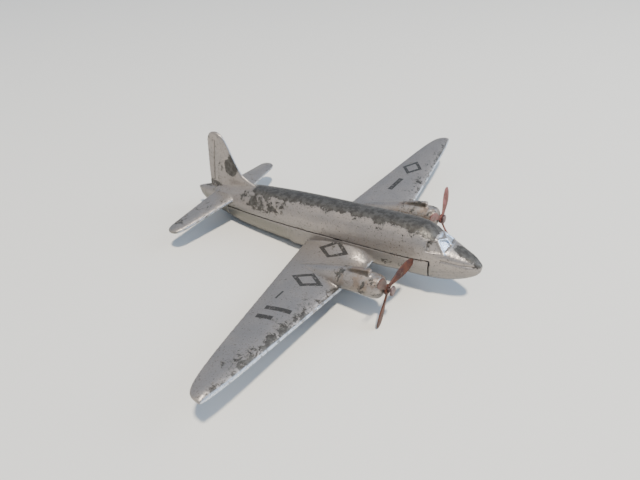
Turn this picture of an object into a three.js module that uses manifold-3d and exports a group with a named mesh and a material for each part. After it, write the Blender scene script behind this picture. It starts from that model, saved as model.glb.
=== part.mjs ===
// A worn die-cast toy airliner with two propellers that spin freely on headed pins.
// It is made the way such a toy is: an upper fuselage casting with fin and tailplane, a lower casting
// with belly, wings and nacelles, two rivets that hold the castings together, and a pin and a
// three-bladed propeller on each nacelle.
// Units are millimetres. +X is the nose, +Y the port wing tip, +Z is up. The origin is on the table
// under the middle of the toy: it stands nose-high on the flat of its rear belly.
import * as THREE from "three";
import { mergeVertices } from "three/addons/utils/BufferGeometryUtils.js";
import Module from "manifold-3d";

const wasm = await Module();
wasm.setup();

// ---- Driving dimensions ---------------------------------------------------------------------
const WINGSPAN = 140;
const LENGTH = 102.4;
const HALF_SPAN = WINGSPAN / 2;
const NOSE_X = LENGTH / 2;
const TAIL_X = -LENGTH / 2;
const WALL = 1.6; // thickness of the hollow castings
const HALF_GAP = 0.15; // half of the slit left between two pieces that meet

const SEAM_Z = 9.75; // height of the joint between the castings at x = 0
const SEAM_SLOPE = 0.089; // the fuselage sits nose-high by this much
const LOWER_REAR_X = -35; // the lower casting ends here in front of the tail
const LOWER_FRONT_X = 38.3; // and here behind the nose

const DIHEDRAL = 0.097; // rise of the wing per millimetre of span
const WING_ROOT_Z = 4.97; // middle of the wing's thickness where it would meet y = 0
const TAILPLANE_HALF_SPAN = 26.1;
const TAILPLANE_Z = 10.24;
const TAILPLANE_DROOP = -0.11;
const FIN_TOP_Z = 31.3;

const ENGINE_Y = 18.6; // distance of each engine axis from the middle of the fuselage
const HUB_CENTRE_X = 32.7;
const HUB_CENTRE_Z = 10.95;
const THRUST_RISE = 5.2; // degrees by which each engine axis points up in the toy's stance
const COWL_RADIUS = 3.35;

// Distances along the engine axis, measured forward from the hub's centre.
const COWL_REAR = -7.1;
const COWL_FRONT = -0.7;
const HUB_HALF_DEPTH = 0.4;
const PIN_TAIL = -6.5;
const PIN_HEAD_DEPTH = 0.65;

const BLADE_RADIUS = 11.5;
const BLADE_CHORD = 3.0;
const BLADE_THICKNESS = 0.55;
const HUB_RADIUS = 1.45;
const HUB_BORE = 0.8;
const PIN_RADIUS = 0.5;
const PIN_HEAD_RADIUS = 1.4;

const RIVET_RADIUS = 0.9;
const RIVET_HEAD_RADIUS = 1.7;
const RIVET_HEAD_HEIGHT = 0.7;
const RIVET_LENGTH = 7.4;
const RIVET_X = [29, -31.2]; // front and rear
const POST_RADIUS = 2.2; // the posts inside the upper casting that the rivets are driven into
const BOSS_RADIUS = 3.2; // the thicker rings of the lower casting round each rivet head

// Each blade's place round the axis from +Y towards +Z, how far it is bent forward, and its pitch,
// all in degrees. Years of play have bent and twisted the thin blades, each one differently.
const STARBOARD_BLADES = [
  { angle: 14.3, bend: 12.5, pitch: 19 },
  { angle: 130.5, bend: 10, pitch: 14 },
  { angle: 248.5, bend: -6, pitch: -2 },
];
const PORT_BLADES = [
  { angle: 28, bend: -11.5, pitch: 20 },
  { angle: 147, bend: 2, pitch: 15 },
  { angle: 285, bend: 16, pitch: 25 },
];
// How far in front of the hub's centre each pin's head starts: one pin is driven in deeper.
const STARBOARD_HEAD_REAR = 1.3;
const PORT_HEAD_REAR = 0.6;

// ---- Fuselage lines: [x, value] points joined by a smooth curve --------------------------------
const CROWN_Z = [
  [TAIL_X, 8.0], [-48, 9.3], [-43, 10.9], [-34, 13.0], [-24, 15.3], [-10, 17.3], [5, 18.9],
  [18, 20.1], [28, 21.0], [33.5, 21.2], [36.4, 20.5], [41.3, 17.5], [46, 15.7], [49.6, 14.3],
  [NOSE_X, 13.1],
];
const BELLY_Z = [
  [TAIL_X, 7.4], [-49.6, 5.4], [-47, 3.9], [-42, 2.2], [-35, 0.7], [-28, -0.3], [-20, -0.4],
  [-11, -0.3], [0, 0.9], [10, 2.4], [22, 4.0], [32, 4.4], [38, 4.9], [42, 5.6], [46, 7.1],
  [49.2, 9.0], [50.6, 10.2], [NOSE_X, 11.2],
];
const HALF_WIDTH = [
  [TAIL_X, 0.4], [-48.5, 1.9], [-44, 3.0], [-36, 4.1], [-26, 5.2], [-14, 6.0], [0, 6.4],
  [28, 6.4], [34, 6.15], [38.5, 5.5], [43, 4.5], [47, 3.3], [49.6, 2.2], [50.7, 1.45],
  [NOSE_X, 0.75],
];
const BELLY_CUT_Z = 0; // the underside is filed flat at the table
const FUSELAGE_SQUARENESS = 2.25; // 2 would make each half section an ellipse
const FAIRING_SQUARENESS = 2.9; // below the seam, where the belly swells out to meet the wing
const FAIRING_X = [-9, -6.5, 24, 31]; // it swells between the first two and fades between the others

// ---- Wing, tailplane and fin edges -----------------------------------------------------------
// A wing edge is straight from the root to `bendAt`, then one cubic curve to the tip point.
const WING = {
  span: HALF_SPAN, tipX: 15.4, rearAt12: 0.05, rearAt58: 8.04, frontAt12: 21.2, frontAt58: 17.43,
  rearBendAt: 47.6, frontBendAt: 55.3, rearHandles: [1.0, 0.49], frontHandles: [0.33, 0.35],
  rootThickness: 3.7, tipThickness: 2.1, camber: 0.25,
};
const TAILPLANE = {
  span: TAILPLANE_HALF_SPAN, tipX: -39.4, rearAt12: -41.2, rearAt58: -43.1, frontAt12: -33.4,
  frontAt58: -44.2, rearBendAt: 23.2, frontBendAt: 20.8, rearHandles: [0.6, 0.58],
  frontHandles: [0.63, 0.61], rootThickness: 2.0, tipThickness: 1.5, camber: 0.1,
};
const FIN_FRONT_X = [
  [9, -22], [14.6, -22.6], [15.9, -26.2], [17.6, -29.8], [20, -31.6], [25.3, -34.0], [28.2, -35.2],
  [30.2, -36.7], [31.0, -37.9], [FIN_TOP_Z, -38.9],
];
const FIN_REAR_X = [
  [9, -45.1], [12, -44.9], [18, -44.3], [24, -43.6], [27.6, -43.2], [29.7, -42.4], [30.8, -41.2],
  [FIN_TOP_Z, -39.7],
];
const FIN_ROOT_THICKNESS = 2.0;
const FIN_TIP_THICKNESS = 1.2;

// ---- Helpers -----------------------------------------------------------------------------------
// A smooth function through [x, value] points, with slopes that never overshoot a point.
function smoothLine(points) {
  const slopes = points.map((point, i) => {
    const before = points[Math.max(i - 1, 0)];
    const after = points[Math.min(i + 1, points.length - 1)];
    const left = i > 0 ? (point[1] - before[1]) / (point[0] - before[0]) : 0;
    const right = i < points.length - 1 ? (after[1] - point[1]) / (after[0] - point[0]) : 0;
    if (i === 0) return right;
    if (i === points.length - 1) return left;
    return left * right <= 0 ? 0 : (2 * left * right) / (left + right);
  });
  return (x) => {
    const last = points.length - 2;
    const i = Math.min(Math.max(points.findIndex((point) => point[0] > x) - 1, 0), last);
    const k = x >= points[points.length - 1][0] ? last : i;
    const [x0, y0] = points[k];
    const [x1, y1] = points[k + 1];
    const width = x1 - x0;
    const t = THREE.MathUtils.clamp((x - x0) / width, 0, 1);
    const rise = y0 * (1 + 2 * t) * (1 - t) ** 2 + y1 * t * t * (3 - 2 * t);
    return rise + width * t * (1 - t) * ((1 - t) * slopes[k] - t * slopes[k + 1]);
  };
}

const crownZ = smoothLine(CROWN_Z);
const bellyZ = smoothLine(BELLY_Z);
const halfWidth = smoothLine(HALF_WIDTH);
const finFrontX = smoothLine(FIN_FRONT_X);
const finRearX = smoothLine(FIN_REAR_X);
const seamZ = (x) => SEAM_Z + SEAM_SLOPE * x;
const radians = THREE.MathUtils.degToRad;

function manifoldOf(geometry) {
  const bare = geometry.clone();
  for (const name of Object.keys(bare.attributes)) {
    if (name !== "position") bare.deleteAttribute(name);
  }
  const merged = mergeVertices(bare, 1e-4);
  return new wasm.Manifold(
    new wasm.Mesh({
      numProp: 3,
      vertProperties: new Float32Array(merged.attributes.position.array),
      triVerts: new Uint32Array(merged.index.array),
    }),
  );
}

function geometryOf(solid) {
  const mesh = solid.getMesh();
  const geometry = new THREE.BufferGeometry();
  geometry.setAttribute("position", new THREE.BufferAttribute(mesh.vertProperties, 3));
  geometry.setIndex(new THREE.BufferAttribute(mesh.triVerts, 1));
  const flat = geometry.toNonIndexed();
  flat.computeVertexNormals();
  return flat;
}

// A closed body skinned over rings of equal length, with a fan over each end ring.
function loft(rings) {
  const count = rings[0].length;
  const positions = rings.flat().flatMap((point) => [point.x, point.y, point.z]);
  const faces = [];
  for (let r = 0; r + 1 < rings.length; r++) {
    for (let i = 0; i < count; i++) {
      const a = r * count + i;
      const b = r * count + ((i + 1) % count);
      faces.push(a, b, b + count, a, b + count, a + count);
    }
  }
  for (const [ring, flip] of [[0, true], [rings.length - 1, false]]) {
    const middle = new THREE.Vector3();
    rings[ring].forEach((point) => middle.addScaledVector(point, 1 / count));
    const hub = positions.length / 3;
    positions.push(middle.x, middle.y, middle.z);
    for (let i = 0; i < count; i++) {
      const a = ring * count + i;
      const b = ring * count + ((i + 1) % count);
      faces.push(...(flip ? [hub, b, a] : [hub, a, b]));
    }
  }
  const geometry = new THREE.BufferGeometry();
  geometry.setAttribute("position", new THREE.Float32BufferAttribute(positions, 3));
  geometry.setIndex(faces);
  const solid = manifoldOf(geometry);
  if (solid.volume() > 0) return solid;
  geometry.setIndex(faces.map((_, i) => faces[i - (i % 3) + [0, 2, 1][i % 3]]));
  return manifoldOf(geometry);
}

function box(x0, x1, y0, y1, z0, z1) {
  const geometry = new THREE.BoxGeometry(x1 - x0, y1 - y0, z1 - z0);
  geometry.translate((x0 + x1) / 2, (y0 + y1) / 2, (z0 + z1) / 2);
  return manifoldOf(geometry);
}

// A solid of revolution round the X axis from [x, radius] points, set into space by a matrix.
function turnedX(profile, matrix, segments = 36) {
  const points = profile.map(([x, radius]) => new THREE.Vector2(radius, x));
  const geometry = new THREE.LatheGeometry(points, segments);
  geometry.rotateZ(-Math.PI / 2);
  geometry.applyMatrix4(matrix);
  return manifoldOf(geometry);
}

// The same round a vertical axis from [z, radius] points, moved to x.
function turnedZ(profile, x, segments = 24) {
  const points = profile.map(([z, radius]) => new THREE.Vector2(radius, z));
  const geometry = new THREE.LatheGeometry(points, segments);
  geometry.rotateX(Math.PI / 2);
  geometry.translate(x, 0, 0);
  return manifoldOf(geometry);
}

// ---- Fuselage --------------------------------------------------------------------------------
// Stations crowd together at the rounded nose and at the windscreen.
const FUSELAGE_STATIONS = [
  TAIL_X, -50.9, -50.3, -49, -47, -44, -40, -35, -30, -25, -20, -14, -9.5, -8.6, -7.8, -7, -6, 0, 7,
  14, 20, 25, 29, 32, 34, 35.5, 37, 38.5, 40, 41.5, 43.5, 46, 48, 49.6, 50.5, 51, NOSE_X,
];
const SECTION_POINTS = 48;

function fuselageRing(x, inset) {
  const middle = seamZ(x) * smoothBlend(x) + ((crownZ(x) + bellyZ(x)) / 2) * (1 - smoothBlend(x));
  const width = Math.max(halfWidth(x) - inset, 0.05);
  const rise = Math.max(crownZ(x) - inset - middle, 0.05);
  const drop = Math.max(middle - bellyZ(x) - inset, 0.05);
  const [rearFoot, rearTop, frontTop, frontFoot] = FAIRING_X;
  const swell =
    THREE.MathUtils.smoothstep(x, rearFoot, rearTop) *
    (1 - THREE.MathUtils.smoothstep(x, frontTop, frontFoot));
  const lowerSquareness = THREE.MathUtils.lerp(FUSELAGE_SQUARENESS, FAIRING_SQUARENESS, swell);
  return Array.from({ length: SECTION_POINTS }, (_, i) => {
    const angle = (i / SECTION_POINTS) * 2 * Math.PI;
    const above = i < SECTION_POINTS / 2;
    const power = 2 / (above ? FUSELAGE_SQUARENESS : lowerSquareness);
    const across = Math.sign(Math.cos(angle)) * Math.abs(Math.cos(angle)) ** power;
    const up = Math.sign(Math.sin(angle)) * Math.abs(Math.sin(angle)) ** power;
    return new THREE.Vector3(x, width * across, middle + up * (above ? rise : drop));
  });
}

// 1 where the widest line of the section is the seam, falling to 0 at the nose and the tail cone.
function smoothBlend(x) {
  return (
    THREE.MathUtils.smoothstep(x, TAIL_X, -38) * (1 - THREE.MathUtils.smoothstep(x, 40, NOSE_X))
  );
}

const fuselageBody = loft(FUSELAGE_STATIONS.map((x) => fuselageRing(x, 0))).subtract(
  box(TAIL_X, NOSE_X, -HALF_SPAN, HALF_SPAN, BELLY_CUT_Z - 5, BELLY_CUT_Z),
);

const cavityStations = FUSELAGE_STATIONS.filter(
  (x) => x > LOWER_REAR_X + WALL && x < LOWER_FRONT_X - WALL,
);
const cavity = loft(cavityStations.map((x) => fuselageRing(x, WALL)));

// The block of space that the lower casting fills, grown or shrunk by `grow`.
function lowerBlock(grow) {
  const rear = LOWER_REAR_X - grow;
  const front = LOWER_FRONT_X + grow;
  const shape = new THREE.Shape();
  shape.moveTo(rear, -20);
  shape.lineTo(front, -20);
  shape.lineTo(front, seamZ(front) + grow);
  shape.lineTo(rear, seamZ(rear) + grow);
  shape.closePath();
  const geometry = new THREE.ExtrudeGeometry(shape, { depth: 40, bevelEnabled: false });
  geometry.rotateX(Math.PI / 2);
  geometry.translate(0, 20, 0);
  return manifoldOf(geometry);
}

// ---- Windscreen --------------------------------------------------------------------------------
// The cockpit glazing is cast in one with the fuselage as a shallow V-fronted block. Corner points of
// one side, from the middle of the front round to the rear: [x, y, z] along the top, then the bottom.
const GLAZING_TOP = [[40.7, 0, 18.5], [39.0, 2.4, 18.85], [36.2, 3.3, 18.5]];
const GLAZING_SILL = [[42.6, 0, 16.7], [41.9, 4.3, 15.9], [36.6, 5.55, 15.6]];
const FRAME_WIDTH = 0.42; // of the bars left standing round each pane
const PANE_DEPTH = 0.22; // by which a pane lies below its frame

function glazingPoint([x, y, z], side) {
  return new THREE.Vector3(x, side * y, z);
}

function glazingBlock() {
  const ring = (corners) => [
    ...corners.map((corner) => glazingPoint(corner, 1)),
    ...corners.slice(1).reverse().map((corner) => glazingPoint(corner, -1)),
  ];
  return loft([ring(GLAZING_SILL), ring(GLAZING_TOP)]);
}

// A cutter for the pane between corner `i` and the next one on one side of the block.
function paneCutter(side, i) {
  const corners = [GLAZING_TOP[i], GLAZING_TOP[i + 1], GLAZING_SILL[i + 1], GLAZING_SILL[i]].map(
    (corner) => glazingPoint(corner, side),
  );
  const middle = new THREE.Vector3();
  corners.forEach((corner) => middle.addScaledVector(corner, 1 / 4));
  const diagonal = corners[2].clone().sub(corners[0]);
  const outward = corners[3].clone().sub(corners[1]).cross(diagonal).normalize();
  if (outward.z < 0) outward.negate();
  const inset = corners.map((corner) => {
    const toMiddle = middle.clone().sub(corner);
    return corner.clone().addScaledVector(toMiddle, (FRAME_WIDTH * 1.4) / toMiddle.length());
  });
  const moved = (distance) => inset.map((corner) => corner.clone().addScaledVector(outward, distance));
  return loft([moved(-PANE_DEPTH), moved(1.5)]);
}

// ---- Wings and tail surfaces -----------------------------------------------------------------
const AEROFOIL_POINTS = 13; // on each of the upper and lower surfaces
const BLUNT_EDGE = 0.22; // half thickness of the cast rear edge

// Half thickness of a round-nosed aerofoil, 1 at its thickest, at `s` from the front to the rear.
function aerofoil(s) {
  const shape =
    0.2969 * Math.sqrt(s) - 0.126 * s - 0.3516 * s ** 2 + 0.2843 * s ** 3 - 0.1015 * s ** 4;
  return shape / 0.1;
}

// A closed section between two edges: `place` puts chord position and thickness into space.
function aerofoilRing(front, rear, thickness, camber, place) {
  const half = thickness / 2;
  const upper = [];
  const lower = [];
  for (let i = 0; i <= AEROFOIL_POINTS; i++) {
    const s = (1 - Math.cos((i / AEROFOIL_POINTS) * Math.PI)) / 2;
    const x = THREE.MathUtils.lerp(front, rear, s);
    const blunt = Math.min(BLUNT_EDGE, half * 0.6) * s;
    const h = half * aerofoil(s) * (1 - 0.1 * s) + blunt;
    upper.push(place(x, h * (1 + camber), s));
    if (i > 0) lower.unshift(place(x, -h * (1 - camber), s));
  }
  return [...upper, ...lower];
}

// The x of a wing's edge at distance y from the middle of the toy.
function wingEdge(wing, which) {
  const at12 = wing[which + "At12"];
  const slope = (wing[which + "At58"] - at12) / (58 - 12);
  const straight = (y) => at12 + slope * (y - 12);
  const bend = wing[which + "BendAt"];
  const [first, second] = wing[which + "Handles"];
  const bendX = straight(bend);
  const reach = wing.span - bend;
  const toTip = wing.tipX - bendX;
  const rear = which === "rear";
  const along = rear ? first : second;
  const across = rear ? second : first;
  const curve = new THREE.CubicBezierCurve(
    new THREE.Vector2(bendX, bend),
    new THREE.Vector2(bendX + slope * reach * along, bend + reach * along),
    new THREE.Vector2(wing.tipX - toTip * across, wing.span),
    new THREE.Vector2(wing.tipX, wing.span),
  );
  return (y) => {
    if (y <= bend) return straight(y);
    let low = 0;
    let high = 1;
    for (let step = 0; step < 40; step++) {
      const t = (low + high) / 2;
      if (curve.getPoint(t).y < y) low = t;
      else high = t;
    }
    return curve.getPoint(low).x;
  };
}

// Where the wing meets the fuselage its upper side sweeps up in a fillet, which is widest over the
// middle of the chord. The front edge stays thin: its under side sweeps up with it.
const FILLET = { y: 6.4, lift: 2.4, frontLift: 1.8, reachFront: 2.6, reachBehind: 6, forward: 0.7 };

function filletAt(y, s) {
  const { reachFront, reachBehind } = FILLET;
  const reach = THREE.MathUtils.lerp(reachFront, reachBehind, THREE.MathUtils.smoothstep(s, 0, 0.3));
  return THREE.MathUtils.clamp((FILLET.y + reach - y) / reach, 0, 1) ** 2;
}

// The stations of a half wing: close together at the fillet and at the rounded tip.
function spanStations(wing, filletStations, count) {
  const start = filletStations[filletStations.length - 1];
  const last = wing.span - 0.04;
  const outer = Array.from({ length: count }, (_, i) => {
    const t = (i + 1) / count;
    return start + (last - start) * Math.sin((t * Math.PI) / 2) ** 1.15;
  });
  return [...filletStations, ...outer];
}

// One half of a wing, from the middle of the toy to the tip. `side` is 1 for port, -1 for starboard.
function wingHalf(wing, side, stations, height, fillet) {
  const front = wingEdge(wing, "front");
  const rear = wingEdge(wing, "rear");
  const last = wing.span - 0.04;
  return loft(
    stations.map((y) => {
      const full = THREE.MathUtils.lerp(wing.rootThickness, wing.tipThickness, y / wing.span);
      const roundness = Math.sqrt(Math.max(1 - ((y - last + 3.2) / 3.4) ** 2, 0.08));
      const thickness = y > last - 3.2 ? full * roundness : full;
      const z = height(y);
      return aerofoilRing(front(y), rear(y), thickness, wing.camber, (x, h, s) => {
        const blend = fillet ? filletAt(y, s) : 0;
        const behind = THREE.MathUtils.smoothstep(s, 0, 0.12);
        const above = THREE.MathUtils.lerp(FILLET.frontLift, FILLET.lift, behind) * (1 - s * s);
        const lift = (h >= 0 ? above : FILLET.frontLift * (1 - s) ** 10) * blend;
        const forward = FILLET.forward * (1 - s) ** 4 * blend;
        return new THREE.Vector3(x + forward, side * y, z + h + lift);
      });
    }),
  );
}

const wingZ = (y) => WING_ROOT_Z + DIHEDRAL * y;
const tailplaneZ = (y) => TAILPLANE_Z + TAILPLANE_DROOP * y;
const WING_STATIONS = spanStations(WING, [0, 4.6, 5.6, 6.4, 7, 7.7, 8.5, 9.5, 10.6, 12.4], 22);
const TAILPLANE_STATIONS = spanStations(TAILPLANE, [0, 3], 14);

function fin() {
  const heights = [9, 11, 13, 14.6, 15.4, 16.4, 17.6, 19, 21, 23.5, 26, 28, 29.3, 30.2, 30.8, 31.15];
  return loft(
    [...heights, FIN_TOP_Z].map((z) => {
      const along = (z - 12) / (FIN_TOP_Z - 12);
      const full = THREE.MathUtils.lerp(FIN_ROOT_THICKNESS, FIN_TIP_THICKNESS, along);
      const thickness = full * Math.sqrt(Math.max(1 - Math.max(z - 29.6, 0) ** 2 / 3.1, 0.1));
      return aerofoilRing(finFrontX(z), finRearX(z), thickness, 0, (x, h) =>
        new THREE.Vector3(x, h, z),
      );
    }),
  );
}

// ---- Nacelles --------------------------------------------------------------------------------
// Stations of the fairing behind the cowl: x, top, bottom, half width.
const NACELLE_STATIONS = [
  [4.2, 7.5, 6.6, 0.4], [6, 8.2, 6.3, 0.9], [8, 8.95, 6.1, 1.4], [11, 10.05, 5.9, 2.15],
  [14, 11.1, 5.9, 2.8], [17, 12.1, 6.0, 3.1], [20, 12.95, 6.3, 3.25], [23, 13.6, 6.75, 3.3],
  [25.6, 13.85, 7.15, 3.3], [26.8, 13.9, 7.35, 3.2],
];

// The cowl, as [distance along the engine axis, radius].
const COWL_PROFILE = [
  [COWL_REAR, 0], [COWL_REAR, COWL_RADIUS - 0.12], [COWL_REAR + 0.25, COWL_RADIUS],
  [-3.1, COWL_RADIUS], [-2.9, COWL_RADIUS - 0.12], [-2.3, COWL_RADIUS - 0.16],
  [-1.75, COWL_RADIUS - 0.42], [-1.3, COWL_RADIUS - 0.9], [-0.95, COWL_RADIUS - 1.6],
  [COWL_FRONT, 1.0], [COWL_FRONT, 0],
];

// The engine frame has its origin at the hub's centre and its x axis forward along the pin.
function engineFrame(side) {
  const matrix = new THREE.Matrix4().makeRotationY(-radians(THRUST_RISE));
  return matrix.setPosition(HUB_CENTRE_X, side * ENGINE_Y, HUB_CENTRE_Z);
}

function nacelle(side) {
  const fairing = loft(
    NACELLE_STATIONS.map(([x, top, bottom, halfBreadth]) =>
      Array.from({ length: 28 }, (_, i) => {
        const angle = (i / 28) * 2 * Math.PI;
        const across = halfBreadth * Math.cos(angle);
        const up = ((top - bottom) / 2) * Math.sin(angle);
        return new THREE.Vector3(x, side * ENGINE_Y + across, (top + bottom) / 2 + up);
      }),
    ),
  );
  return fairing.add(turnedX(COWL_PROFILE, engineFrame(side))).add(intake(side));
}

// The blind hole in the front of a cowl that holds the propeller's pin.
function pinHole(side) {
  const radius = PIN_RADIUS + HALF_GAP;
  const end = PIN_TAIL - 0.5;
  return turnedX([[end, 0], [end, radius], [2, radius], [2, 0]], engineFrame(side), 20);
}

// The air intake on top of each nacelle rises towards its mouth. Stations: x, top.
const INTAKE_STATIONS = [[20.2, 12.8], [21.4, 13.85], [24.5, 14.8], [27.4, 15.4], [27.9, 15.25]];
const INTAKE_HALF_WIDTH = 0.75;

function intake(side) {
  return loft(
    INTAKE_STATIONS.map(([x, top]) => {
      const w = INTAKE_HALF_WIDTH;
      const section = [
        [-w, 12.6], [-w, top - 0.35], [-w * 0.75, top - 0.08], [0, top], [w * 0.75, top - 0.08],
        [w, top - 0.35], [w, 12.6],
      ];
      return section.map(([y, z]) => new THREE.Vector3(x, side * ENGINE_Y + y, z));
    }),
  );
}

// ---- The two castings --------------------------------------------------------------------------
function postAndHole(x) {
  const headZ = Math.max(bellyZ(x), BELLY_CUT_Z) + 0.15;
  const postFoot = headZ + RIVET_HEAD_HEIGHT + WALL + 2 * HALF_GAP;
  const post = turnedZ([[postFoot, 0], [postFoot, POST_RADIUS], [22, POST_RADIUS], [22, 0]], x);
  const socketRadius = POST_RADIUS + 2 * HALF_GAP;
  const socketFoot = postFoot - 2 * HALF_GAP;
  const socket = turnedZ(
    [[socketFoot, 0], [socketFoot, socketRadius], [22, socketRadius], [22, 0]],
    x,
  );
  const hole = RIVET_RADIUS + HALF_GAP;
  const recess = RIVET_HEAD_RADIUS + HALF_GAP;
  const stepZ = headZ + RIVET_HEAD_HEIGHT + HALF_GAP;
  const bore = turnedZ(
    [
      [headZ - 3, 0], [headZ - 3, recess], [stepZ, recess], [stepZ, hole],
      [headZ + RIVET_LENGTH + HALF_GAP, hole], [headZ + RIVET_LENGTH + HALF_GAP, 0],
    ],
    x,
  );
  const floor = turnedZ(
    [[headZ - 3, 0], [headZ - 3, BOSS_RADIUS], [socketFoot, BOSS_RADIUS], [socketFoot, 0]],
    x,
  );
  return { headZ, post, socket, bore, floor };
}

const joints = RIVET_X.map(postAndHole);

function upperFuselage() {
  let solid = fuselageBody.subtract(lowerBlock(HALF_GAP)).subtract(cavity);
  for (const { post } of joints) solid = solid.add(post.intersect(fuselageBody));
  solid = solid.add(fin()).add(glazingBlock());
  for (const side of [1, -1]) {
    solid = solid.subtract(paneCutter(side, 0)).subtract(paneCutter(side, 1));
  }
  for (const side of [1, -1]) {
    solid = solid.add(wingHalf(TAILPLANE, side, TAILPLANE_STATIONS, tailplaneZ, false));
  }
  for (const { bore } of joints) solid = solid.subtract(bore);
  return solid;
}

function lowerCasting() {
  const pan = fuselageBody.intersect(lowerBlock(-HALF_GAP));
  let solid = pan;
  for (const side of [1, -1]) {
    const wing = wingHalf(WING, side, WING_STATIONS, wingZ, true);
    solid = solid.add(wing).add(nacelle(side)).subtract(pinHole(side));
  }
  solid = solid.subtract(cavity);
  for (const { floor, socket, bore } of joints) {
    solid = solid.add(floor.intersect(pan)).subtract(socket).subtract(bore);
  }
  return solid;
}

// ---- Rivets, pins and propellers --------------------------------------------------------------
function rivet(x, headZ) {
  const top = headZ + RIVET_HEAD_HEIGHT;
  return turnedZ(
    [
      [headZ, 0], [headZ, RIVET_HEAD_RADIUS - 0.5], [headZ + 0.25, RIVET_HEAD_RADIUS - 0.1],
      [headZ + 0.45, RIVET_HEAD_RADIUS], [top, RIVET_HEAD_RADIUS], [top, RIVET_RADIUS],
      [headZ + RIVET_LENGTH, RIVET_RADIUS], [headZ + RIVET_LENGTH, 0],
    ],
    x,
  );
}

function propellerPin(side, headRear) {
  const edge = 0.25;
  const headFront = headRear + PIN_HEAD_DEPTH;
  return turnedX(
    [
      [PIN_TAIL, 0], [PIN_TAIL, PIN_RADIUS], [headRear, PIN_RADIUS],
      [headRear, PIN_HEAD_RADIUS], [headFront - edge, PIN_HEAD_RADIUS],
      [headFront - 0.08, PIN_HEAD_RADIUS - edge], [headFront, 0],
    ],
    engineFrame(side),
    24,
  );
}

// One thin blade, built along +Y as a narrow root that widens to a rounded paddle, then turned to
// its own place round the X axis.
function blade({ angle, bend, pitch }) {
  const root = 0.9;
  const steps = 11;
  const rings = [];
  for (let i = 0; i <= steps; i++) {
    const along = Math.sin(((i / steps) * Math.PI) / 2) ** 1.15;
    const radius = THREE.MathUtils.lerp(root, BLADE_RADIUS, along);
    const leaf = 0.36 + 0.64 * THREE.MathUtils.smoothstep(along, 0.05, 0.62);
    const tip = Math.sqrt(Math.max(1 - Math.max((along - 0.72) / 0.28, 0) ** 2.2, 0.03));
    const chord = BLADE_CHORD * leaf * tip;
    const thickness = BLADE_THICKNESS * (1.2 - 0.4 * along) * Math.max(tip, 0.5);
    const twist = radians(pitch + 14 * (1 - along) ** 2);
    const forward = Math.tan(radians(bend)) * Math.max(radius - 1.5, 0);
    rings.push(
      Array.from({ length: 14 }, (_, k) => {
        const turn = (k / 14) * 2 * Math.PI;
        const across = (chord / 2) * Math.cos(turn);
        const deep = (thickness / 2) * Math.sin(turn);
        return new THREE.Vector3(
          forward + across * Math.sin(twist) + deep * Math.cos(twist),
          radius,
          -across * Math.cos(twist) + deep * Math.sin(twist),
        ).applyAxisAngle(new THREE.Vector3(1, 0, 0), radians(angle));
      }),
    );
  }
  return loft(rings);
}

function propeller(blades) {
  const depth = HUB_HALF_DEPTH;
  const still = new THREE.Matrix4();
  let solid = turnedX(
    [
      [-depth, 0], [-depth, HUB_RADIUS - 0.15], [-depth + 0.15, HUB_RADIUS],
      [depth - 0.15, HUB_RADIUS], [depth, HUB_RADIUS - 0.15], [depth, 0],
    ],
    still,
    24,
  );
  for (const bladeShape of blades) solid = solid.add(blade(bladeShape));
  solid = solid.subtract(turnedX([[-2, 0], [-2, HUB_BORE], [2, HUB_BORE], [2, 0]], still, 20));
  return solid;
}

// ---- Materials and the finished group ----------------------------------------------------------
const silverPaint = () =>
  new THREE.MeshStandardMaterial({ color: 0x9c9892, roughness: 0.42, metalness: 0.75 });
const redPaint = () =>
  new THREE.MeshStandardMaterial({ color: 0x7c3b2c, roughness: 0.5, metalness: 0.2 });
const dullSteel = () =>
  new THREE.MeshStandardMaterial({ color: 0x6f5a55, roughness: 0.45, metalness: 0.8 });

const toy = new THREE.Group();

function place(name, solid, material, matrix = new THREE.Matrix4()) {
  const mesh = new THREE.Mesh(geometryOf(solid), material);
  mesh.name = name;
  mesh.applyMatrix4(matrix);
  toy.add(mesh);
}

place("upper_fuselage", upperFuselage(), silverPaint());
place("lower_casting_with_wings", lowerCasting(), silverPaint());
place("front_rivet", rivet(RIVET_X[0], joints[0].headZ), dullSteel());
place("rear_rivet", rivet(RIVET_X[1], joints[1].headZ), dullSteel());

for (const [name, side, blades, headRear] of [
  ["starboard", -1, STARBOARD_BLADES, STARBOARD_HEAD_REAR],
  ["port", 1, PORT_BLADES, PORT_HEAD_REAR],
]) {
  place(name + "_propeller", propeller(blades), redPaint(), engineFrame(side));
  place(name + "_propeller_pin", propellerPin(side, headRear), dullSteel());
}

export default toy;
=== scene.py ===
import bpy
import numpy as np
from mathutils import Matrix, Vector


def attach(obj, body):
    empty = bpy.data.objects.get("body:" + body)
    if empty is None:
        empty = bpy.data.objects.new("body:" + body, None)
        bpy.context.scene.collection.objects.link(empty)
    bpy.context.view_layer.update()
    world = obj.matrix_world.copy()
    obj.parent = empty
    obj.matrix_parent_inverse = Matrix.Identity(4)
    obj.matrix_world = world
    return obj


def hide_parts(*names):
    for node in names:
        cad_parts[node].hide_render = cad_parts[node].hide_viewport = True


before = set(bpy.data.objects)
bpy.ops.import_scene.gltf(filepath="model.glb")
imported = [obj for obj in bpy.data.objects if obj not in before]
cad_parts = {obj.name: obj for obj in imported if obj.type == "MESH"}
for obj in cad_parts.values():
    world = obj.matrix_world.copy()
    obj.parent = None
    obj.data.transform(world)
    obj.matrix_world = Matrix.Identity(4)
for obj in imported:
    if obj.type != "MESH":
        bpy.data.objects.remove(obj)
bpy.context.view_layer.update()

# The toy's own frame: +X the nose, +Y the port wing tip, +Z up. The toy is described in
# millimetres, which MM turns into metres where they enter Blender. The floor and the lights are in
# metres.
MM = 0.001

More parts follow.
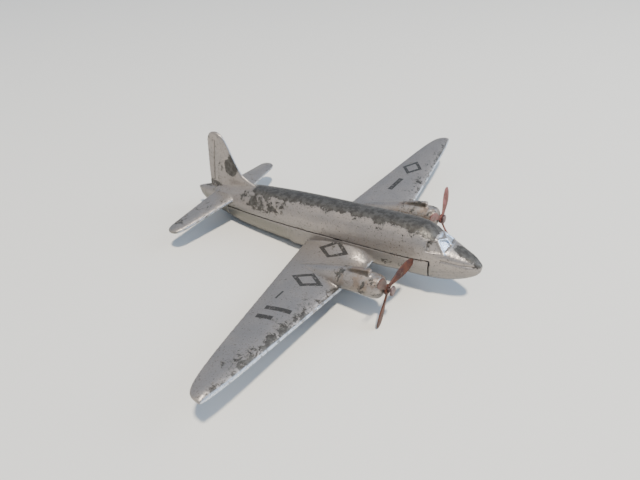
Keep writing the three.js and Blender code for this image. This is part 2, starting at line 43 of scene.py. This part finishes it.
# ---- Camera ------------------------------------------------------------------------------------
CAMERA_RIGHT = Vector((0.8435, 0.5364, -0.0294))
CAMERA_UP = Vector((-0.3032, 0.5206, 0.7982))
CAMERA_BACK = Vector((0.4434, -0.6643, 0.6017))
CAMERA_PLACE = Vector((71.488, -107.219, 99.482)) * MM
LENS = 28.125  # in millimetres, as Blender takes it
SENSOR_WIDTH = 36  # in millimetres, as Blender takes it
NEAREST_SEEN = 0.005  # in metres

camera = bpy.data.objects.new("camera", bpy.data.cameras.new("camera"))
bpy.context.scene.collection.objects.link(camera)
camera_turn = Matrix((CAMERA_RIGHT, CAMERA_UP, CAMERA_BACK)).transposed().to_4x4()
camera.matrix_world = Matrix.Translation(CAMERA_PLACE) @ camera_turn
camera.data.lens = LENS
camera.data.sensor_width = SENSOR_WIDTH
camera.data.clip_start = NEAREST_SEEN
bpy.context.scene.camera = camera

# ---- Meshes: the CAD solids, remeshed finely and rounded like real castings ----------------------
# CAD node, piece that stands for it, body, material slot, voxel in millimetres, smoothing passes.
PIECES = (
    ("upper_fuselage", "upper_fuselage_casting", "airframe", "silver_paint", 0.22, 8),
    ("lower_casting_with_wings", "lower_casting", "airframe", "silver_paint", 0.22, 8),
    (
        "starboard_propeller", "starboard_propeller_cast",
        "starboard_propeller", "red_paint", 0.12, 4,
    ),
    ("port_propeller", "port_propeller_cast", "port_propeller", "red_paint", 0.12, 4),
    ("starboard_propeller_pin", "starboard_propeller_pin_cast", "airframe", "dull_steel", 0.09, 5),
    ("port_propeller_pin", "port_propeller_pin_cast", "airframe", "dull_steel", 0.09, 5),
    ("front_rivet", "front_rivet_cast", "airframe", "dull_steel", 0.12, 5),
    ("rear_rivet", "rear_rivet_cast", "airframe", "dull_steel", 0.12, 5),
)

# One smoothing pass moves each vertex this far towards its neighbours, then back again a little
# farther, which removes ripples and keeps the volume.
SMOOTH_STEP = 0.5
RESTORE_STEP = 0.53


def vertex_array(mesh, what="co"):
    values = np.empty(len(mesh.vertices) * 3)
    mesh.vertices.foreach_get(what, values)
    return values.reshape(-1, 3)


def store_vertices(mesh, points):
    mesh.vertices.foreach_set("co", points.ravel())
    mesh.update()


def neighbour_pull(points, first, second, counts):
    """The step from each vertex to the mean of its neighbours."""
    total = np.empty_like(points)
    for k in range(3):
        total[:, k] = np.bincount(first, points[second, k], len(points))
        total[:, k] += np.bincount(second, points[first, k], len(points))
    return total / counts[:, None] - points


def smooth(mesh, passes, weight=None, shrink=False):
    """Smooths the mesh, keeping its volume unless `shrink` is set. `weight` is per vertex."""
    points = vertex_array(mesh)
    edges = np.empty(len(mesh.edges) * 2, dtype=np.int32)
    mesh.edges.foreach_get("vertices", edges)
    first, second = edges.reshape(-1, 2).T
    counts = np.bincount(first, minlength=len(points)) + np.bincount(second, minlength=len(points))
    amount = 1.0 if weight is None else weight[:, None]
    for _ in range(passes):
        points += SMOOTH_STEP * amount * neighbour_pull(points, first, second, counts)
        if not shrink:
            points -= RESTORE_STEP * amount * neighbour_pull(points, first, second, counts)
    store_vertices(mesh, points)


def refined(node, name, voxel, passes):
    """A finer copy of a CAD node, ready for detail."""
    rough = bpy.data.objects.new(name + "_rough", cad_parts[node].data.copy())
    bpy.context.scene.collection.objects.link(rough)
    remesh = rough.modifiers.new("remesh", "REMESH")
    remesh.mode = "VOXEL"
    remesh.voxel_size = voxel * MM
    remesh.use_smooth_shade = True
    ready = rough.evaluated_get(bpy.context.evaluated_depsgraph_get())
    mesh = bpy.data.meshes.new_from_object(ready)
    bpy.data.objects.remove(rough)
    mesh.name = name
    mesh.materials.clear()
    smooth(mesh, passes)
    piece = bpy.data.objects.new(name, mesh)
    bpy.context.scene.collection.objects.link(piece)
    return piece


pieces = {}
for node, name, _, _, voxel, passes in PIECES:
    pieces[node] = refined(node, name, voxel, passes)
upper = pieces["upper_fuselage"].data
lower = pieces["lower_casting_with_wings"].data

# ---- Sculpted detail: grooves and lumps that are too fine for the solids -------------------------
ENGINE_SPAN = 18.6  # distance of each engine from the middle of the toy
MIDDLE_STRIP = 0.3  # grooves stay this far from the middle of the toy
FACING_GAIN = 3  # a groove reaches its full depth where the surface faces sideways by a third
SOFT_GAIN = 1.6  # softening is full within about 0.4 of an ellipsoid's radius

# Ellipsoids in which corners are softened. The foot of the fin: centre, radii, passes.
FIN_FOOT = ((-34, 0, 13.6), (13, 4.5, 3.2), 14)
# The others: casting, centre on the port side, radii, passes. Each is repeated to starboard.
SOFT_SPOTS = (
    (upper, (-38, 3.4, 9.9), (9, 3.2, 2.6), 14),  # the root of the tailplane
    (lower, (22.0, 6.6, 6.6), (5, 2.6, 3.4), 10),  # the front of the wing root
    (lower, (19.5, 9.5, 8.8), (8, 4.5, 3.6), 40),  # the crest of the wing root's fillet
    (lower, (27, ENGINE_SPAN, 14.2), (7.5, 2.4, 1.8), 4),  # the intake
)
# Casting, path of (x, z) points, depth, half width. A negative depth raises a ridge. Each is on
# both sides of the toy.
GROOVES = (
    (upper, [(-39.8, 28.2), (-42.7, 13)], 0.26, 0.26),  # the rudder's hinge line
    # the upper and the lower line on the nose
    (upper, [(41.3, 14.2), (43.6, 13.95), (45.9, 13.6), (49.2, 13.4)], 0.26, 0.35),
    (upper, [(39.6, 9.7), (41.5, 10.2), (44.4, 10.9), (47.5, 11.4)], 0.12, 0.25),
    (upper, [(40.0, 8.6), (41.0, 9.4)], -0.35, 0.8),  # a lug cast behind the nose
    (upper, [(42.3, 15.6), (46, 14.9), (49, 14.1)], -0.12, 0.7),  # the shoulder of the nose
    (lower, [(-7.6, 3), (-7.6, 8.8)], -0.18, 0.5),  # where the belly swells out
)


def carve(mesh, path, side, depth, width):
    """Presses a groove along a path on one side of the toy, -1 for starboard and 1 for port."""
    points = vertex_array(mesh)
    normals = vertex_array(mesh, "normal")
    x, y, z = points.T / MM
    nearest = np.full(len(points), np.inf)
    for (x0, z0), (x1, z1) in zip(path, path[1:]):
        length2 = (x1 - x0) ** 2 + (z1 - z0) ** 2
        t = np.clip(((x - x0) * (x1 - x0) + (z - z0) * (z1 - z0)) / length2, 0, 1)
        gap = np.hypot(x - x0 - t * (x1 - x0), z - z0 - t * (z1 - z0))
        nearest = np.minimum(nearest, gap)
    facing = np.clip(normals[:, 1] * side * FACING_GAIN, 0, 1) * (y * side > MIDDLE_STRIP)
    amount = depth * MM * np.exp(-((nearest / width) ** 2)) * facing
    store_vertices(mesh, points - normals * amount[:, None])


def soften(mesh, centre, radii, passes):
    """Melts the corners inside an ellipsoid, the way metal fills the corners of a mould."""
    away = (vertex_array(mesh) / MM - np.array(centre)) / np.array(radii)
    weight = np.clip(SOFT_GAIN * (1 - np.linalg.norm(away, axis=1)), 0, 1)
    smooth(mesh, passes, weight, shrink=True)


soften(upper, *FIN_FOOT)
for side in (-1, 1):
    for mesh, (x, y, z), radii, passes in SOFT_SPOTS:
        soften(mesh, (x, side * y, z), radii, passes)
    for mesh, path, depth, width in GROOVES:
        carve(mesh, path, side, depth, width)


# ---- Procedural materials ------------------------------------------------------------------------
class Nodes:
    """Builds a node network from short expressions."""

    def __init__(self, tree):
        self.tree = tree

    def add(self, kind, **settings):
        node = self.tree.nodes.new(kind)
        for name, value in settings.items():
            setattr(node, name, value)
        return node

    def join(self, value, socket):
        if isinstance(value, bpy.types.NodeSocket):
            self.tree.links.new(value, socket)
        else:
            socket.default_value = value

    def split(self, vector):
        node = self.add("ShaderNodeSeparateXYZ")
        self.join(vector, node.inputs[0])
        return node.outputs

    def math(self, operation, *values):
        node = self.add("ShaderNodeMath", operation=operation)
        for value, socket in zip(values, node.inputs):
            self.join(value, socket)
        return node.outputs[0]

    def vector(self, operation, *values):
        node = self.add("ShaderNodeVectorMath", operation=operation)
        for value, socket in zip(values, node.inputs):
            self.join(value, socket)
        gives_number = operation in ("LENGTH", "DOT_PRODUCT")
        return node.outputs["Value" if gives_number else "Vector"]

    def chain(self, operation, values):
        result = values[0]
        for value in values[1:]:
            result = self.math(operation, result, value)
        return result

    def total(self, *values):
        return self.chain("ADD", values)

    def product(self, *values):
        return self.chain("MULTIPLY", values)

    def highest(self, *values):
        return self.chain("MAXIMUM", values)

    def less(self, first, second):
        return self.math("SUBTRACT", first, second)

    def gap(self, first, second):
        """How far apart two numbers are."""
        return self.math("ABSOLUTE", self.less(first, second))

    def ramp(self, value, low, high, start=0.0, end=1.0):
        """A smooth step from `start` at low to `end` at high, which may be below low."""
        node = self.add("ShaderNodeMapRange", interpolation_type="SMOOTHSTEP")
        for number, socket in zip((value, low, high, start, end), node.inputs):
            self.join(number, socket)
        return node.outputs[0]

    def mix(self, factor, first, second):
        """The first colour where the factor is 0, the second where it is 1."""
        node = self.add("ShaderNodeMix", data_type="RGBA")
        self.join(factor, node.inputs["Factor"])
        for value, name in ((first, "A"), (second, "B")):
            socket = next(s for s in node.inputs if s.name == name and s.type == "RGBA")
            self.join(value if isinstance(value, bpy.types.NodeSocket) else (*value, 1), socket)
        return next(s for s in node.outputs if s.type == "RGBA")


class Surface(Nodes):
    """A material. Positions and noise are in the toy's own frame, in millimetres."""

    def __init__(self, name):
        self.material = bpy.data.materials.new(name)
        self.material.use_nodes = True
        super().__init__(self.material.node_tree)
        self.shader = self.tree.nodes["Principled BSDF"]
        coordinates = self.add("ShaderNodeTexCoord")
        self.place = self.vector("MULTIPLY", coordinates.outputs["Object"], (1 / MM,) * 3)
        self.x, self.y, self.z = self.split(self.place)
        self.span = self.math("ABSOLUTE", self.y)
        self.normal_x, _, self.normal_z = self.split(coordinates.outputs["Normal"])

    def noise(self, scale, detail, roughness, distortion=0.0, shift=0.0):
        """Noise with `scale` features per millimetre. `shift` keeps two noises from lining up."""
        node = self.add("ShaderNodeTexNoise")
        self.join(self.vector("ADD", self.place, (shift,) * 3), node.inputs["Vector"])
        node.inputs["Scale"].default_value = scale
        node.inputs["Detail"].default_value = detail
        node.inputs["Roughness"].default_value = roughness
        node.inputs["Distortion"].default_value = distortion
        return node.outputs[0]

    def blob(self, centre, radii):
        """1 inside an ellipsoid's middle, falling to 0 at its surface."""
        away = self.vector("DIVIDE", self.vector("SUBTRACT", self.place, centre), radii)
        return self.ramp(self.vector("LENGTH", away), 1.0, 0.45)

    def layer(self, under, mask, strength, colour):
        """Lays a colour over another where the mask is 1."""
        return self.mix(self.product(mask, strength), under, colour)

    def set(self, name, value):
        self.join(value, self.shader.inputs[name])

    def bump(self, height, distance, strength):
        """Bumps `distance` millimetres high where the height changes by 1."""
        node = self.add("ShaderNodeBump")
        self.join(height, node.inputs["Height"])
        node.inputs["Distance"].default_value = distance * MM
        node.inputs["Strength"].default_value = strength
        self.join(node.outputs[0], self.shader.inputs["Normal"])


# The black marks on the wings, as seen from above. Lozenges: centre, half length along x and y, and
# half the thickness of the outline as a share of its size. Bars: start, end, half width.
LOZENGES = (
    ((10.4, -8.8), 5.1, 3.6, 0.19),
    ((11.5, -24.4), 5.2, 3.4, 0.21),
    ((11.6, 44.2), 3.7, 4.5, 0.19),
)
BARS = (
    ((8.7, -35.0), (8.7, -31.6), 0.28),
    ((8.6, -39.1), (15.7, -37.8), 0.75),
    ((8.6, -42.8), (13.0, -42.0), 0.75),
    ((10.2, 28.8), (11.1, 36.3), 0.85),
)


def lozenge(graph, centre, half_x, half_y, line):
    """1 on the outline of a lozenge."""
    dx = graph.gap(graph.x, centre[0])
    dy = graph.gap(graph.y, centre[1])
    size = graph.total(graph.product(dx, 1 / half_x), graph.product(dy, 1 / half_y))
    return graph.ramp(graph.gap(size, 1 - line), line + 0.03, line - 0.02)


def bar(graph, start, end, half_width):
    """1 inside a bar."""
    (x0, y0), (x1, y1) = start, end
    length = ((x1 - x0) ** 2 + (y1 - y0) ** 2) ** 0.5
    ux, uy = (x1 - x0) / length, (y1 - y0) / length
    dx = graph.less(graph.x, (x0 + x1) / 2)
    dy = graph.less(graph.y, (y0 + y1) / 2)
    along = graph.total(graph.product(dx, ux), graph.product(dy, uy))
    across = graph.less(graph.product(dx, uy), graph.product(dy, ux))
    beyond_end = graph.less(graph.math("ABSOLUTE", along), length / 2)
    beyond_side = graph.less(graph.math("ABSOLUTE", across), half_width)
    return graph.ramp(graph.highest(beyond_end, beyond_side), 0.1, -0.06)


def wing_marks(graph):
    shapes = [lozenge(graph, *shape) for shape in LOZENGES] + [bar(graph, *shape) for shape in BARS]
    on_top = graph.ramp(graph.normal_z, 0.3, 0.5)
    return graph.product(graph.highest(*shapes), on_top)


PAINT = (0.36, 0.318, 0.288)
PAINT_COOL = (0.32, 0.29, 0.268)
GRAINY = (0.20, 0.18, 0.165)
SCUFFED = (0.21, 0.19, 0.175)
SPECKS = (0.10, 0.09, 0.083)
NACELLE_STAIN = (0.25, 0.17, 0.115)
# Painted shade for surfaces that face sideways or down, low on the toy.
PAINTED_LOW_SHADE = (0.21, 0.20, 0.19)
# Painted shade for the low rear of the fuselage.
PAINTED_REAR_SHADE = (0.165, 0.162, 0.135)
# Darker in grooves, and painted shade on the sides of the intakes.
GROOVE_DARK_AND_PAINTED_SHADE = (0.06, 0.053, 0.045)
MARK_BLACK = (0.022, 0.021, 0.02)
BARE_DARK = (0.066, 0.06, 0.054)
BARE_SLATE = (0.105, 0.099, 0.09)
# Rubbed bare metal with a painted bluish reflection. It is also the painted reflection on the
# windscreen.
RUBBED_METAL_AND_PAINTED_SHEEN = (0.64, 0.70, 0.80)

# Two noises and the local wear are added up. Between these sums the paint goes from whole to fully
# scuffed, and from whole to chipped off.
SCUFFING = (0.56, 0.66)
CHIPPING = (0.635, 0.665)
WEAR_EVERYWHERE = 0.012
WEAR_ON_EDGES = 0.10
# Blender's pointiness is 0.5 on a flat surface, more on an edge and less in a groove.
ON_EDGES = (0.525, 0.575)
IN_GROOVES = (0.488, 0.455)


def painted_intake_shade(graph):
    """1 on the sides of the intakes, where shade is painted."""
    beside = graph.gap(graph.span, ENGINE_SPAN)
    return graph.product(
        graph.ramp(beside, 0.45, 0.7),
        graph.ramp(beside, 1.35, 1.0),
        graph.ramp(graph.x, 20.5, 22),
        graph.ramp(graph.x, 27.7, 27.2),
        graph.ramp(graph.z, 12.6, 13.4),
    )


def paint_with_wear_and_painted_shade(graph, grain, scuffed, specks, pointiness):
    """The silver paint's colour with everything that lies on it and with painted shade low down and
    beside the intakes, except the black marks.
    """
    on_nacelle = graph.product(
        graph.ramp(graph.span, 13.5, 15),
        graph.ramp(graph.span, 24, 22.5),
        graph.ramp(graph.x, 15, 21),
    )
    stain = graph.ramp(graph.noise(0.33, 5, 0.62, shift=41), 0.46, 0.6)
    # Painted shade: darker where the surface faces sideways or down, low on the toy.
    low = graph.product(graph.ramp(graph.normal_z, 0.45, -0.1), graph.ramp(graph.z, 13.5, 9.0))
    # Painted shade: darker on the low rear of the fuselage.
    low_rear = graph.product(graph.ramp(graph.z, 9.0, 7.0), graph.ramp(graph.x, -2, -12))
    # Darker in grooves, and painted shade on the sides of the intakes.
    grooves_and_painted_shade = graph.highest(graph.ramp(pointiness, *IN_GROOVES), painted_intake_shade(graph))
    clouds = graph.ramp(graph.noise(0.16, 3, 0.5, shift=90), 0.35, 0.65)
    paint = graph.mix(clouds, PAINT, PAINT_COOL)
    for mask, strength, colour in (
        (graph.ramp(grain, 0.5, 0.75), 0.45, GRAINY),
        (scuffed, 0.5, SCUFFED),
        (specks, 0.7, SPECKS),
        (graph.product(stain, on_nacelle), 0.6, NACELLE_STAIN),
        (low, 0.6, PAINTED_LOW_SHADE),
        (low_rear, 0.6, PAINTED_REAR_SHADE),
        (grooves_and_painted_shade, 0.75, GROOVE_DARK_AND_PAINTED_SHADE),
    ):
        paint = graph.layer(paint, mask, strength, colour)
    return paint


def silver_material(name, wear, rubbing_and_sheen, marks=None):
    """Worn silver paint over dark bare metal, with painted shade low down and beside the intakes.
    `wear`, `rubbing_and_sheen` and `marks` build masks on a graph: extra wear, metal rubbed bright
    with a painted bluish sheen, and black marks."""
    graph = Surface(name)
    fine = graph.noise(1.5, 6, 0.66, 0.4, shift=31)
    coarse = graph.noise(0.36, 6, 0.66, 0.6)
    grain = graph.noise(3.0, 3, 0.7, shift=55)
    lumps = graph.noise(0.8, 3, 0.55, shift=3)
    specks = graph.ramp(graph.noise(2.0, 4, 0.64, shift=7), 0.585, 0.635)
    pointiness = graph.add("ShaderNodeNewGeometry").outputs["Pointiness"]
    edge_wear = graph.ramp(pointiness, *ON_EDGES, WEAR_EVERYWHERE, WEAR_ON_EDGES)
    all_wear = graph.total(wear(graph), edge_wear)
    field = graph.total(graph.product(coarse, 0.7), graph.product(fine, 0.3), all_wear)
    scuffed = graph.ramp(field, *SCUFFING)
    chip = graph.ramp(field, *CHIPPING)
    shine = rubbing_and_sheen(graph)
    paint = paint_with_wear_and_painted_shade(graph, grain, scuffed, specks, pointiness)
    metallic = graph.total(graph.ramp(shine, 0, 1, 0.68, 0.95), graph.product(chip, -0.2))
    if marks:
        black = graph.product(marks(graph), graph.ramp(fine, 0.66, 0.56))
        paint = graph.layer(paint, black, 0.93, MARK_BLACK)
        metallic = graph.product(metallic, graph.less(1.0, graph.product(black, 0.8)))
    tarnish = graph.ramp(graph.noise(0.8, 4, 0.6, shift=12), 0.4, 0.6)
    metal = graph.mix(tarnish, BARE_DARK, BARE_SLATE)
    # Where shine is 1, the colour is rubbed metal with a painted bluish reflection.
    graph.set("Base Color", graph.mix(shine, graph.mix(chip, paint, metal), RUBBED_METAL_AND_PAINTED_SHEEN))
    graph.set("Metallic", metallic)
    graph.set("Specular IOR Level", 0.25)
    roughness = graph.total(
        graph.product(grain, 0.22), graph.ramp(chip, 0, 1, 0.27, 0.33), graph.product(shine, -0.12)
    )
    graph.set("Roughness", roughness)
    height = graph.total(
        graph.product(chip, -0.8),
        graph.product(lumps, 1.5),
        graph.product(grain, 0.3),
        graph.product(specks, -0.55),
    )
    graph.bump(height, 0.08, 1.0)
    return graph.material


# Places where the fuselage casting is worn more than elsewhere: centre, radii, extra wear.
FUSELAGE_WEAR = (
    ((-18, -4.0, 13.0), (15, 4.5, 5.5), 0.155),  # the starboard side in front of the tail
    ((-45, 0, 11.2), (10, 2.6, 2.4), 0.2),  # the top of the tail cone
    ((33, 0, 20), (9, 7, 5), 0.07),  # the cabin roof behind the windscreen
    ((-4, 4, 14), (20, 4, 5), 0.07),  # the port side
    ((-34.0, -1, 19.8), (3.3, 3, 4.0), 0.42),  # the bare patch at the front of the fin
    ((-33.5, 1, 22.8), (2.2, 3, 3.0), 0.3),  # the same patch, higher up
    ((-41.5, -20.0, 8.2), (5, 5, 3), 0.14),  # near the starboard tip of the tailplane
    ((-43, 17.0, 8.2), (4, 6, 3), 0.1),  # near its port tip
    ((28, -5, 17), (9, 3, 3), 0.06),  # the starboard side of the cabin
)


def fuselage_wear(graph):
    crown = graph.product(
        graph.ramp(graph.span, 5.0, 1.9),
        graph.ramp(graph.normal_z, 0.15, 0.5),
        graph.ramp(graph.x, -27, -22),
        graph.ramp(graph.x, 39.5, 37.5),
    )
    nose = graph.product(
        graph.ramp(graph.span, 2.9, 0.9),
        graph.ramp(graph.normal_z, 0.2, 0.6),
        graph.ramp(graph.x, 42.5, 44.5),
    )
    towards_tail = graph.ramp(graph.x, -20, -40)
    patches = [
        graph.product(crown, 0.31), graph.product(nose, 0.26), graph.product(towards_tail, 0.04)
    ]
    for centre, radii, wear in FUSELAGE_WEAR:
        patches.append(graph.product(graph.blob(centre, radii), wear))
    return graph.highest(*patches)


# The straight line that the wing's front edge lies on: its x at the middle of the toy, and how much x
# changes per millimetre of span.
FRONT_EDGE_X = 22.2
FRONT_EDGE_SLOPE = -0.082


def wing_wear(graph):
    front_edge = graph.math("MULTIPLY_ADD", graph.span, FRONT_EDGE_SLOPE, FRONT_EDGE_X)
    behind = graph.less(front_edge, graph.x)
    on_wing = graph.ramp(behind, -0.6, 0.2)
    outboard = graph.product(
        graph.ramp(behind, 6.5, 1.5),
        on_wing,
        graph.ramp(graph.span, 24, 38),
        graph.ramp(graph.span, 64, 58),
    )
    starboard = graph.ramp(graph.y, 0.5, -0.5)
    edge_line = graph.product(graph.ramp(behind, 2.6, 0.8), on_wing, graph.ramp(graph.span, 10, 22))
    nacelle = graph.product(graph.ramp(graph.span, 13.5, 15.5), graph.ramp(graph.x, 18, 22))
    starboard_root = graph.blob((12, -9, 8), (9, 5, 3))
    starboard_belly_front = graph.blob((28, -6, 9), (8, 2.5, 2))
    return graph.highest(
        graph.product(outboard, starboard, 0.16),
        graph.product(outboard, 0.075),
        graph.product(edge_line, 0.12),
        graph.product(starboard_root, 0.03),
        graph.product(starboard_belly_front, 0.11),
        graph.product(nacelle, 0.07),
    )


def front_rubbing_and_painted_sheen(graph, low, high):
    """Broken patches of 1 where the surface faces forward: rubbed metal with a painted sheen."""
    broken = graph.ramp(graph.noise(0.5, 4, 0.6, shift=70), 0.66, 0.5)
    return graph.product(graph.ramp(graph.normal_x, low, high), broken)


def wing_rubbing_and_painted_sheen(graph):
    # Rubbed metal with a painted bluish highlight along the wing's front edge.
    behind_the_cowls = graph.ramp(graph.x, 24.5, 23.5)
    return graph.product(front_rubbing_and_painted_sheen(graph, 0.66, 0.9), behind_the_cowls)


def fuselage_rubbing_and_painted_sheen(graph):
    # Painted reflection: the windscreen panes get the bright bluish colour of a reflected sky.
    on_tail = graph.ramp(graph.x, -28, -30)
    windscreen = graph.product(
        graph.ramp(graph.x, 38.5, 39.5),
        graph.ramp(graph.x, 43.0, 42.4),
        graph.ramp(graph.normal_x, 0.3, 0.45),
        graph.ramp(graph.z, 15.6, 16.2),
    )
    # Rubbed metal with a painted sheen on the forward-facing edges of the tail.
    tail_edges = graph.product(front_rubbing_and_painted_sheen(graph, 0.62, 0.86), on_tail, 0.6)
    return graph.highest(tail_edges, graph.product(windscreen, 0.9))


BARE_BLADE = (0.13, 0.085, 0.06)
STARBOARD_RED = (0.09, 0.028, 0.014)
STARBOARD_RED_WORN = (0.04, 0.014, 0.011)
PORT_RED = (0.20, 0.07, 0.062)
PORT_RED_WORN = (0.11, 0.035, 0.022)
STEEL = (0.20, 0.14, 0.138)
STEEL_TARNISHED = (0.10, 0.065, 0.06)
STEEL_PITS = (0.08, 0.06, 0.05)


def propeller_material(name, colour, worn_colour):
    """Red-brown paint, faded in patches and chipped in places."""
    graph = Surface(name)
    patch = graph.noise(0.5, 5, 0.62, 0.4)
    fleck = graph.noise(2.2, 4, 0.6, shift=20)
    paint = graph.mix(graph.ramp(patch, 0.4, 0.62), colour, worn_colour)
    bare = graph.ramp(graph.total(graph.product(patch, 0.5), graph.product(fleck, 0.5)), 0.60, 0.64)
    graph.set("Base Color", graph.mix(bare, paint, BARE_BLADE))
    graph.set("Metallic", graph.ramp(bare, 0, 1, 0.1, 0.4))
    graph.set("Specular IOR Level", 0.35)
    graph.set("Roughness", graph.total(graph.product(fleck, 0.25), 0.34))
    graph.bump(graph.total(graph.product(bare, -0.6), graph.product(fleck, 0.5)), 0.03, 0.8)
    return graph.material


def steel_material(name):
    """Steel with brownish tarnish and dark pits."""
    graph = Surface(name)
    tarnish = graph.noise(0.7, 5, 0.62, 0.3)
    fleck = graph.noise(3.5, 4, 0.6, shift=20)
    colour = graph.mix(graph.ramp(tarnish, 0.4, 0.62), STEEL, STEEL_TARNISHED)
    colour = graph.layer(colour, graph.ramp(fleck, 0.55, 0.7), 0.6, STEEL_PITS)
    graph.set("Base Color", colour)
    graph.set("Metallic", 0.75)
    graph.set("Roughness", graph.total(graph.product(fleck, 0.3), 0.26))
    graph.bump(graph.total(fleck, graph.product(tarnish, 0.8)), 0.03, 0.7)
    return graph.material


steel = steel_material("tarnished_steel")
FINISHES = {
    "upper_fuselage": silver_material("upper_silver_paint", fuselage_wear, fuselage_rubbing_and_painted_sheen),
    "lower_casting_with_wings": silver_material(
        "lower_silver_paint", wing_wear, wing_rubbing_and_painted_sheen, wing_marks
    ),
    "starboard_propeller": propeller_material(
        "starboard_red_paint", STARBOARD_RED, STARBOARD_RED_WORN
    ),
    "port_propeller": propeller_material("port_red_paint", PORT_RED, PORT_RED_WORN),
    "starboard_propeller_pin": steel,
    "port_propeller_pin": steel,
    "front_rivet": steel,
    "rear_rivet": steel,
}

# ---- Floor, world and lights, in metres ----------------------------------------------------------
FLOOR_HALF = 5.0
FLOOR_COLOUR = (0.74, 0.72, 0.675, 1)
FLOOR_ROUGHNESS = 0.75

floor_surface = Surface("floor")
floor_surface.set("Base Color", FLOOR_COLOUR)
floor_surface.set("Roughness", FLOOR_ROUGHNESS)
floor_mesh = bpy.data.meshes.new("floor")
corner_signs = ((-1, -1), (1, -1), (1, 1), (-1, 1))
floor_corners = [(x * FLOOR_HALF, y * FLOOR_HALF, 0) for x, y in corner_signs]
floor_mesh.from_pydata(floor_corners, [], [(0, 1, 2, 3)])
floor_mesh.materials.append(floor_surface.material)
floor = bpy.data.objects.new("floor", floor_mesh)
bpy.context.scene.collection.objects.link(floor)

# The room is grey near the floor and bluish overhead, which tints the shadows, with a warm glow
# above the starboard side of the tail and a cool one in front of the port wing.
HORIZON_COLOUR = (0.30, 0.31, 0.33)
OVERHEAD_COLOUR = (0.125, 0.29, 0.55)
OVERHEAD_HEIGHT = 0.4
ROOM_STRENGTH = 0.94
GLOWS = (  # direction, cosine of the angle at which the glow ends, colour
    ((-0.44, -0.5, 0.74), 0.72, (1.08, 1.06, 1.03)),
    ((0.7, 0.42, 0.5), 0.6, (0.7, 0.92, 1.25)),
)

world = bpy.data.worlds.new("studio")
bpy.context.scene.world = world
world.use_nodes = True
sky = Nodes(world.node_tree)
seen = sky.add("ShaderNodeTexCoord").outputs["Generated"]
above_horizon = sky.ramp(sky.split(seen)[2], 0.0, OVERHEAD_HEIGHT)
room = sky.mix(above_horizon, HORIZON_COLOUR, OVERHEAD_COLOUR)
for direction, edge, colour in GLOWS:
    towards = sky.vector("DOT_PRODUCT", seen, Vector(direction).normalized())
    room = sky.mix(sky.ramp(towards, edge, 1.0), room, colour)
background = world.node_tree.nodes["Background"]
sky.join(room, background.inputs["Color"])
background.inputs["Strength"].default_value = ROOM_STRENGTH

LAMPS = (  # name, direction from the toy, distance, diameter, power in watts, colour
    ("key", (0.3, -0.2, 1.0), 1.5, 0.138, 35.0, (1.0, 0.92, 0.78)),
    ("window", (0.72, 0.45, 0.5), 0.6, 0.4, 1.6, (0.82, 0.9, 1.0)),
)


def area_light(name, direction, distance, size, power, colour):
    """A round lamp in a direction from the toy, facing it."""
    light = bpy.data.lights.new(name, "AREA")
    light.shape = "DISK"
    light.size = size
    light.energy = power
    light.color = colour
    lamp = bpy.data.objects.new(name, light)
    bpy.context.scene.collection.objects.link(lamp)
    towards = Vector(direction).normalized()
    lamp.location = towards * distance
    lamp.rotation_euler = (-towards).to_track_quat("-Z", "Y").to_euler()


for lamp in LAMPS:
    area_light(*lamp)

# ---- Bodies, stand-ins and finishes --------------------------------------------------------------
for node, _, body, slot, _, _ in PIECES:
    piece = pieces[node]
    piece.data.materials.append(FINISHES[node])
    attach(piece, body)
    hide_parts(node)
